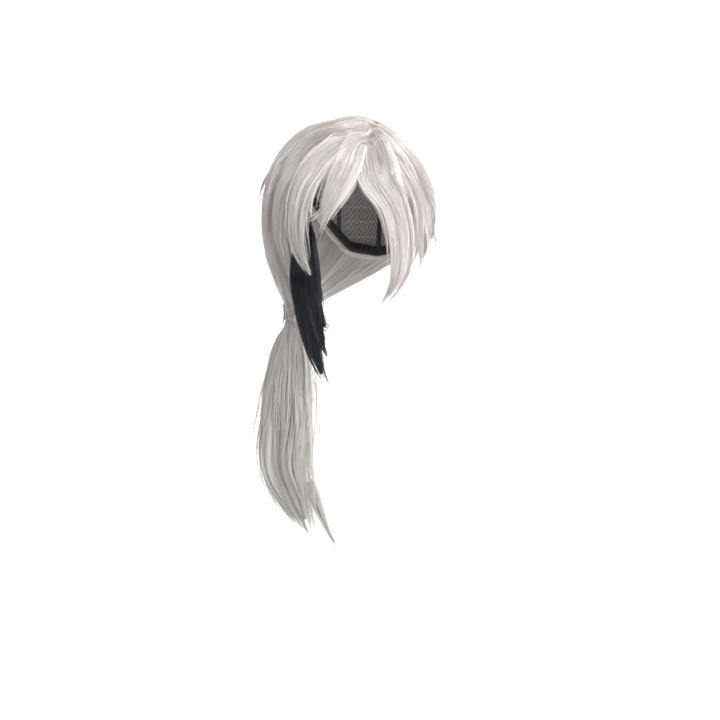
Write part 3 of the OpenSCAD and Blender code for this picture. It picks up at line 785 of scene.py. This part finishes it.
net_thread = fabric("net_thread", (0.012, 0.012, 0.013), (0.03, 0.03, 0.032), 0.6, 2, 2, 0.2)
band_cloth = fabric("band_cloth", (0.016, 0.016, 0.018), (0.05, 0.05, 0.054), 0.7, 9, 6)
tab_cloth = fabric("tab_cloth", (0.014, 0.014, 0.016), (0.04, 0.04, 0.043), 0.75, 26, 26)
rib_cloth = fabric("rib_cloth", (0.05, 0.05, 0.052), (0.13, 0.13, 0.135), 0.7, 7, 5)
strap_cloth = fabric("strap_cloth", (0.01, 0.01, 0.011), (0.03, 0.03, 0.032), 0.65, 6, 5)
weft_cloth = fabric("weft_cloth", (0.42, 0.41, 0.40), (0.66, 0.65, 0.64), 0.6, 5, 9)
stay_cloth = fabric("stay_cloth", (0.30, 0.30, 0.31), (0.46, 0.46, 0.47), 0.45, 3, 2, 0.2)
skin_cloth = fabric("skin_cloth", (0.42, 0.27, 0.18), (0.55, 0.37, 0.26), 0.6, 20, 20, 0.3)
grey_thread = fabric("grey_thread", (0.10, 0.10, 0.105), (0.2, 0.2, 0.205), 0.55, 2, 4, 0.2)
white_thread = fabric("white_thread", (0.5, 0.5, 0.49), (0.75, 0.74, 0.73), 0.5, 2, 4, 0.2)
hook_plastic = fabric("hook_plastic", (0.012, 0.012, 0.013), (0.02, 0.02, 0.021), 0.32, 1, 1, 0.05)
tie_cloth = fabric("tie_cloth", (0.34, 0.33, 0.32), (0.62, 0.61, 0.60), 0.7, 5, 14, 0.8)


def head_normal(p):
    return unit(p / axes_at(p, 2.0) ** 2)


def strip_section(across):
    """Outline of a flat strip with rounded edges: u across and v through, both from -1 to 1."""
    corner = 0.12
    flat = np.linspace(-1 + corner, 1 - corner, across)
    turn = np.array([1 - corner / 3, 1, 1 - corner / 3])
    u = np.concatenate([flat, turn, flat[::-1], -turn])
    v = np.concatenate([np.ones(across), [0.75, 0, -0.75], -np.ones(across), [-0.75, 0, 0.75]])
    return u, v


def strip(build, theta, phi, off, half, thick, mat=0, across=6):
    """A strip of tape along a line over the head."""
    theta, phi = np.broadcast_arrays(np.asarray(theta, float), np.asarray(phi, float))
    line = head_pt(theta, phi, off)
    n = head_normal(line)
    t = unit(np.gradient(line, axis=0))
    b = np.cross(t, n)
    u, v = strip_section(across)
    half = np.broadcast_to(half, len(line))[:, None, None]
    ring = line[:, None] + b[:, None] * half * u[None, :, None] + n[:, None] * (thick / 2) * v[None, :, None]
    quads, tris = ring_faces(1, len(line), len(u))
    run = np.concatenate([[0], np.cumsum(np.linalg.norm(np.diff(line, axis=0), axis=1))]) / 10
    build.add(ring.reshape(-1, 3), quads, tris, mat, np.tile(u, len(line)), np.repeat(run, len(u)))


def stitches(build, theta, phi, off, mat, length=2.2, pitch=3.4, slant=0.0):
    """A row of stitches along a line over the head; slant turns them into a zigzag."""
    half, bulge = 0.24, 0.25
    outward = 1 if off > NET_OFF - 0.2 else -1
    theta, phi = np.broadcast_arrays(np.asarray(theta, float), np.asarray(phi, float))
    line = head_pt(theta, phi, off)
    run = np.concatenate([[0], np.cumsum(np.linalg.norm(np.diff(line, axis=0), axis=1))])
    count = max(int(run[-1] / pitch), 1)
    mid = (np.arange(count) + 0.5) * run[-1] / count
    at = mid[:, None] + np.linspace(-0.5, 0.5, 5)[None] * length
    p = np.stack([np.interp(at, run, line[:, c]) for c in range(3)], -1)
    n = head_normal(p)
    t = unit(np.gradient(p, axis=1))
    side = np.cross(t, n)
    lean = np.linspace(-slant, slant, 5)[None] * np.where(np.arange(count) % 2, 1, -1)[:, None]
    lift = bulge * np.sin(np.linspace(0, np.pi, 5))[None] * outward
    p = p + side * lean[..., None] + n * lift[..., None]
    size = half * np.array([0.6, 1, 1, 1, 0.6])[None] * np.ones((count, 1))
    add_fibres(build, p, size, n * outward, mat, np.full(count, 0.5))


def net(build, phi0, phi1, columns, top, low, rows):
    """Open net: zigzag threads side by side, which touch their neighbours at every turn."""
    pitch = (phi1 - phi0) / columns
    phi = phi0 + pitch * (np.arange(columns) + 0.5)
    s = np.linspace(0, 1, rows)[None]
    theta = top(phi)[:, None] + (low(phi) - top(phi))[:, None] * s
    flip = np.where((np.arange(columns)[:, None] + np.arange(rows)[None]) % 2, 0.5, -0.5)
    swing = phi[:, None] + pitch * flip
    off = NET_OFF + 0.12 * flip
    p = head_pt(theta, swing, off)
    add_fibres(build, p, np.full(p.shape[:2], NET_THREAD_HALF), head_normal(p), 0, np.full(columns, 0.5))


def on_cap(build, name, slot, *materials):
    put(build.finish(name, list(materials)), "cap", slot, name)


def level(value):
    return lambda phi: np.full(np.shape(phi), float(value))


def above_rim(phi):
    return rim(phi) - 3.0


def make_cap_net():
    crown = Build()
    for start, end, columns, rows in ((2, 11, 28, 6), (11, 22, 64, 8), (22, 38, 128, 12)):
        net(crown, 0, 360, columns, level(start), level(end), rows)
    ring = np.linspace(0, 360, 121)
    for theta, half in ((2.0, 1.4), (CROWN_EDGE + 0.2, 2.0)):
        strip(crown, theta, ring, NET_OFF, half, 0.7, 1)
    for theta in (CROWN_EDGE - 0.7, CROWN_EDGE + 1.1):
        stitches(crown, theta, ring, NET_OFF - 0.45, 2)
    on_cap(crown, "crown_net", "cap_net", net_thread, band_cloth, grey_thread)
    panels = [
        ("top_net", [(-62, 62, 66, above_rim, 12)], (-62, 62)),
        ("side_net_left", [(62, 95, 18, level(61), 15), (95, 126, 17, above_rim, 30)], (126,)),
        ("side_net_right", [(-95, -62, 18, level(61), 15), (-126, -95, 17, above_rim, 30)], (-126,)),
        ("back_net", [(126, 234, 58, above_rim, 44)], (180,)),
    ]
    for name, parts, seams in panels:
        b = Build()
        for phi0, phi1, columns, low, rows in parts:
            net(b, phi0, phi1, columns, level(CROWN_EDGE), low, rows)
        for phi in seams:
            down = np.linspace(CROWN_EDGE, float(rim(phi)) - BAND + 1, 30)
            strip(b, down, phi, NET_OFF, 1.6, 0.7, 1)
            for side in (-0.7, 0.7):
                stitches(b, down, phi + side, NET_OFF - 0.45, 2)
        on_cap(b, name, "cap_net", net_thread, band_cloth, grey_thread)


def edge_band(name, phi0, phi1):
    """The soft band along the cap's edge: a doubled strip, rolled at the edge and sewn twice."""
    b = Build()
    phi = np.linspace(phi0, phi1, max(int(abs(phi1 - phi0) / 2), 8))
    strip(b, rim(phi) - BAND / 2, phi, NET_OFF, 5.4, 0.8, across=12)
    strip(b, rim(phi) - 0.3, phi, NET_OFF, 1.0, 1.7)
    for up, slant in ((1.5, 0.0), (BAND - 0.9, 0.7)):
        for off in (NET_OFF - 0.5, NET_OFF + 0.5):
            stitches(b, rim(phi) - up, phi, off, 1, slant=slant)
    on_cap(b, name, "cap_band", band_cloth, grey_thread)


def make_bands():
    edge_band("front_band", -66, 66)
    edge_band("nape_band", 126, 234)
    edge_band("ear_binding_left", 95, 126)
    edge_band("ear_binding_right", -126, -95)


def make_ear_tab(side, name):
    """Cloth tab in front of the ear, bound all round, with a springy stay inside it."""
    b = Build()
    across, down = 18, 16
    phi, s = np.meshgrid(np.linspace(TAB_FRONT, TAB_REAR, across), np.linspace(0, 1, down), indexing="ij")
    theta = TAB_TOP + (rim(phi) - TAB_TOP) * s
    sides = [head_pt(theta, side * phi, NET_OFF + d).reshape(-1, 3) for d in (0.4, -0.4)]
    quads = sheet_faces(across, down)
    if side < 0:
        quads = quads[:, ::-1]
    b.add(np.concatenate(sides), quads, (), 0, np.tile((phi / 20).ravel(), 2), np.tile((s * 2).ravel(), 2))
    lower = np.linspace(TAB_FRONT, TAB_REAR, 40)
    rear = np.linspace(TAB_TOP, float(rim(TAB_REAR)), 20)
    front = np.linspace(TAB_TOP, float(rim(TAB_FRONT)), 12)
    top = np.linspace(TAB_FRONT, TAB_REAR, 24)
    for theta, phi, half in ((rim(lower) - 0.3, lower, 1.1), (rear, TAB_REAR, 1.0),
                             (front, TAB_FRONT, 1.0), (TAB_TOP, top, 1.0)):
        strip(b, theta, side * phi, NET_OFF, half, 1.6, 1)
    for off in (NET_OFF - 0.5, NET_OFF + 0.5):
        stitches(b, rim(lower) - 2.2, side * lower, off, 2)
    on_cap(b, f"ear_tab_{name}", "cap_band", tab_cloth, band_cloth, grey_thread)
    stay = Build()
    theta = np.linspace(TAB_TOP + 4, float(rim(STAY_PHI)) - 4, 24)
    strip(stay, theta, side * STAY_PHI, TRIM_OFF, 3.4, 0.6, across=8)
    for turn in (-1.9, 1.9):
        stitches(stay, theta, side * (STAY_PHI + turn), TRIM_OFF - 0.35, 1, pitch=2.6, length=1.6)
    across_end = side * (STAY_PHI + np.linspace(-2.1, 2.1, 6))
    for end in (theta[0] + 0.6, theta[-1] - 0.6):
        stitches(stay, end, across_end, TRIM_OFF - 0.35, 1, pitch=1.5, length=1.0)
    on_cap(stay, f"ear_stay_{name}", "boning", stay_cloth, grey_thread)


def make_ribs():
    b = Build()
    for phi in (100, 140, 180, 220, 260):
        theta = np.linspace(CROWN_EDGE - 12, float(rim(phi)) - 1, 40)
        strip(b, theta, phi, RIB_OFF, 3.0, 0.6, across=8)
        for turn in (-1.4, 1.4):
            stitches(b, theta, phi + turn, RIB_OFF - 0.4, 1, pitch=3.0, length=1.8)
    on_cap(b, "cap_ribs", "rib_elastic", rib_cloth, grey_thread)


def weft_hair(build, theta, phi, rng, reach):
    """Fibres that hang from a weft over the next row."""
    count = len(phi)
    s = np.linspace(0, 1, 7)[None]
    down = theta[:, None] + reach * rng.uniform(0.7, 1.1, (count, 1)) * s
    lean = phi[:, None] + rng.normal(0, 0.7, (count, 1)) * s
    off = WEFT_OFF + 0.1 + 0.5 * s + rng.uniform(0, 0.5, (count, 1))
    p = head_pt(down, lean, off)
    size = 0.3 * rng.uniform(0.6, 1.2, (count, 1)) * (1 - 0.6 * s)
    add_fibres(build, p, size, -head_normal(p), 2, rng.random(count))


def sewn_weft(build, theta, phi, half, slant):
    strip(build, theta, phi, WEFT_OFF, half, 0.8)
    for off in (WEFT_OFF - 0.45, WEFT_OFF + 0.45):
        stitches(build, theta, phi, off, 1, pitch=1.9, length=1.9, slant=slant)


def make_wefts():
    """Rows round the back, each from phi = start on the left to the same on the right, and a spiral."""
    materials = (weft_cloth, white_thread, white_fibre)
    for i, start in enumerate(WEFT_STARTS):
        rng = np.random.default_rng(100 + i)
        theta = FIRST_WEFT + WEFT_STEP * i
        phi = np.linspace(start, 360 - start, int((360 - 2 * start) / 2.5))
        b = Build()
        sewn_weft(b, theta, phi, 2.0, 1.1)
        hang = rng.uniform(start, 360 - start, int((360 - 2 * start) * 2.6))
        reach = np.minimum(WEFT_STEP, rim(hang) - theta - 1.0)
        weft_hair(b, np.full(len(hang), theta + 0.6), hang, rng, reach[:, None])
        on_cap(b, f"weft_row_{i + 1}", "weft_stitch", *materials)
    b = Build()
    turn, rise, low = 360 * 2.25, 24, 35
    s = np.linspace(0, 1, 160)
    sewn_weft(b, low - rise * s, 180 + turn * s, 1.7, 0.9)
    rng = np.random.default_rng(120)
    pick = rng.random(700)
    weft_hair(b, low + 0.6 - rise * pick, 180 + turn * pick, rng, 8.0)
    on_cap(b, "crown_weft", "weft_stitch", *materials)


def make_parting_patch():
    b = Build()
    theta = np.linspace(16, float(rim(24)) - BAND - 1, 24)
    half = 9.0 * np.sin(np.radians(theta)) / np.sin(np.radians(35))
    strip(b, theta, 24.0, RIB_OFF, half, 0.55, across=14)
    for phi in (15.5, 32.5):
        stitches(b, theta, phi, RIB_OFF - 0.4, 1, pitch=2.6, length=1.6)
    on_cap(b, "parting_patch", "skin_patch", skin_cloth, grey_thread)


def make_straps():
    for side, name in ((1, "left"), (-1, "right")):
        b = Build()
        phi = np.linspace(112, 155, 30)
        strip(b, rim(phi) - 3.5, side * phi, TRIM_OFF, 3.0, 0.6, across=8)
        for up in (2.2, 4.8):
            stitches(b, rim(phi[:6]) - up, side * phi[:6], TRIM_OFF - 0.35, 1, pitch=1.8, length=1.2)
        on_cap(b, f"strap_{name}", "strap_elastic", strap_cloth, grey_thread)
        b = Build()
        for k in range(3):
            phi = np.linspace(163 + 5 * k, 167 + 5 * k, 8)
            strip(b, rim(phi) - 3.5, side * phi, TRIM_OFF, 3.0, 0.6, across=8)
            for at in (phi[0] + 0.3, phi[-1] - 0.3):
                theta = float(rim(at)) - np.linspace(1.8, 5.2, 8)
                stitches(b, theta, side * at, TRIM_OFF - 0.35, 1, pitch=1.3, length=0.9)
        on_cap(b, f"loop_tape_{name}", "strap_elastic", strap_cloth, grey_thread)
        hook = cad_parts[f"hook_{name}"]
        for slot in hook.material_slots:
            slot.material = hook_plastic


def make_tie():
    """Covered elastic wound twice round the gathered hair, with a plaited cover."""
    b = Build()
    around, section = 120, 16
    i, j = np.meshgrid(np.arange(around), np.arange(section), indexing="ij")
    aa, cc = 2 * np.pi * i / around, 2 * np.pi * j / section
    here, ahead, turn = i * section, (i + 1) % around * section, (j + 1) % section
    quads = np.stack([here + j, ahead + j, ahead + turn, here + turn], -1).reshape(-1, 4)
    wire = 1.35 * (1 + 0.07 * np.cos(4 * cc + 30 * aa) * np.cos(4 * cc - 30 * aa))
    radius = 10.9 + wire * np.cos(cc)
    x, y = radius * np.cos(aa), radius * np.sin(aa)
    for z, tilt in ((1.25, 0.05), (-1.25, -0.04)):
        p = np.stack([x, y, z + wire * np.sin(cc) + tilt * x], -1)
        b.add((p + KNOT).reshape(-1, 3), quads, (), 0, (cc / np.pi).ravel(), (np.sin(aa * 3) * 2).ravel())
    put(b.finish("hair_tie", [tie_cloth]), "tail_knot", "tie_elastic", "hair_tie")


make_cap_net()
make_bands()
make_ear_tab(1, "left")
make_ear_tab(-1, "right")
make_ribs()
make_wefts()
make_parting_patch()
make_straps()
make_tie()

# ---------------------------------------------------------------- hair over the dome

SECTORS = {
    # name: (part from, part to, phi from, phi to, least and most distance off the head)
    "front_hair": (0.0, 0.12, -62, 62, 4.5, 7.0),
    "side_hair_left": (0.05, 0.55, 55, 122, 3.9, 5.4),
    "side_hair_right": (0.1, 0.6, -55, -122, 5.0, 8.5),
    "back_hair_upper_left": (0.55, 1.0, 118, 182, 5.0, 8.5),
    "back_hair_upper_right": (0.6, 1.0, -118, -182, 5.0, 8.5),
}


def make_shell():
    """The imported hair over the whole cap, closed, with an inner and an outer side."""
    nu, nv = 120, 40
    phi = np.linspace(-180, 180, nu, endpoint=False)
    share = np.linspace(0.0, 1, nv)
    pp, ss = np.meshgrid(phi, share, indexing="ij")
    behind_ear = np.exp(-((pp - 150) / 9) ** 2)
    low = np.max([rim(pp - 4), rim(pp), rim(pp + 4)], axis=0) + 1.5 + 4 * behind_ear
    theta = 1.0 + (low - 1.0) * ss
    groove = 0.5 * np.sin(pp * 1.9) + 0.4 * np.sin(pp * 3.7 + 1)
    outer = head_pt(theta, pp, 5.6 + groove * smooth(ss, 0.1, 0.5) - 0.8 * smooth(ss, 0.85, 1))
    inner = head_pt(theta, pp, 4.0)
    i, j = np.meshgrid(np.arange(nu) * nv, np.arange(nv - 1), indexing="ij")
    k = (i + nv) % (nu * nv)
    out = np.stack([i + j, i + j + 1, k + j + 1, k + j], -1).reshape(-1, 4)
    n = nu * nv
    i, k = i[:, 0], k[:, 0]
    low = np.stack([i + nv - 1, n + i + nv - 1, n + k + nv - 1, k + nv - 1], -1)
    top = np.stack([k, n + k, n + i, i], -1)
    b = Build()
    b.add(np.concatenate([outer.reshape(-1, 3), inner.reshape(-1, 3)]),
          np.concatenate([out, out[:, ::-1] + n, low, top]), (), 0,
          np.tile((pp / 40).ravel(), 2), np.tile((ss * 2).ravel(), 2))
    return b.finish("hair_underlayer", [white_mass])


def dome_fibres(name, sector, seed):
    """Fibres that flow from the parting down over the cap to its rim."""
    count, width, rings = 2600, 0.42, 16
    s0, s1, p0, p1, near, far = sector
    rng = np.random.default_rng(seed)
    b = Build()
    clumps = 26
    share = rng.random(count)
    s = s0 + (s1 - s0) * np.clip(share + rng.normal(0, 0.05, count), 0, 1)
    phi = p0 + (p1 - p0) * share
    group = np.floor(share * clumps).astype(int)
    low = rim(phi) + 2 * rng.uniform(-2.5, 1.0, count) + rng.uniform(-3, 1, clumps + 1)[group]
    end_off = rng.uniform(near, far, count)
    a = part_pt(s)
    z = head_pt(low, phi, end_off)
    a = pushed(a - unit(z - a) * rng.uniform(2, 14, (count, 1)), PART_OFF - rng.uniform(0, 3, count))
    t = np.linspace(0, 1, rings)[None]
    line = a[:, None] + (z - a)[:, None] * t[..., None]
    lift = 0.6 * (far - near) * np.sin(group * 2.1)[:, None]
    depth = PART_OFF + (end_off - PART_OFF)[:, None] * t + lift * np.sin(np.pi * t) * 0.6
    own = rng.uniform(-1.2, 1.2, count)[:, None]
    depth = depth + own + 0.5 * np.sin(6 * t + rng.uniform(0, 6, (count, 1)))
    p = pushed(line, depth)
    n = unit(p)
    d = unit(np.gradient(p, axis=1))
    side = np.cross(d, n)
    bend = rng.normal(0, 1.3, (count, 1)) + rng.normal(0, 2.0, clumps + 1)[group][:, None]
    p = p + side * (bend * np.sin(np.pi * t))[..., None]
    half = width * rng.uniform(0.6, 1.2, (count, 1)) * (1 - 0.8 * smooth(t, 0.7, 1.0))
    tone = np.clip(0.6 * rng.uniform(0.25, 0.75, clumps + 1)[group] + 0.4 * rng.random(count), 0, 1)
    facing = unit(n + rng.normal(0, 0.25, (count, 1, 3)))
    add_fibres(b, p, half, facing, 0, tone)
    return b.finish(name, [white_fibre])


put(make_shell(), "cap", "white_fibre", "crown_hair", "back_hair_lower")
for k, (name, sector) in enumerate(SECTORS.items()):
    stands_for = "back_hair_upper" if name.startswith("back_hair_upper") else name
    put(dome_fibres(name, sector, 70 + k), "cap", "white_fibre", stands_for)

# ---------------------------------------------------------------- stage

def make_stage():
    """A pale floor that curves up into a backdrop."""
    floor_z = -600.0
    behind = 1500.0
    radius = 600.0
    arc = np.linspace(0, np.pi / 2, 16)
    profile = [(-2600.0, floor_z)] + [
        (behind - radius + radius * math.sin(a), floor_z + radius - radius * math.cos(a)) for a in arc]
    profile.append((behind, 2600.0))
    xs = (-4000.0, 4000.0)
    verts = [(x, y, z) for y, z in profile for x in xs]
    quads = np.array([(2 * i, 2 * i + 1, 2 * i + 3, 2 * i + 2) for i in range(len(profile) - 1)])
    m, nt, b = shader("backdrop", 0.9, 0.2)
    b.inputs["Base Color"].default_value = (0.9, 0.9, 0.9, 1)
    b.inputs["Emission Color"].default_value = (1, 1, 1, 1)
    nt.links.new(attribute(nt, "tone"), b.inputs["Emission Strength"])
    glow = [0.5 * float(smooth(y, 0.0, 900.0)) for y, z in profile for x in xs]
    make_mesh("backdrop", np.array(verts), [quads], [m], np.zeros(len(quads)), {"tone": glow})


def area_light(name, spot, size, power, target=(0, 0, -0.1)):
    data = bpy.data.lights.new(name, "AREA")
    data.shape = "DISK"
    data.size = size
    data.energy = power
    ob = bpy.data.objects.new(name, data)
    ob.location = spot
    ob.rotation_euler = (Vector(target) - Vector(spot)).to_track_quat("-Z", "Y").to_euler()
    bpy.context.scene.collection.objects.link(ob)


def make_world(strength):
    world = bpy.data.worlds.new("studio")
    world.use_nodes = True
    back = world.node_tree.nodes["Background"]
    back.inputs["Color"].default_value = (1, 1, 1, 1)
    back.inputs["Strength"].default_value = strength
    bpy.context.scene.world = world


make_stage()
area_light("key", (1.45, -1.3, 1.3), 0.6, 76)
area_light("back", (0.5, 1.7, 1.1), 1.2, 26)
make_world(0.52)
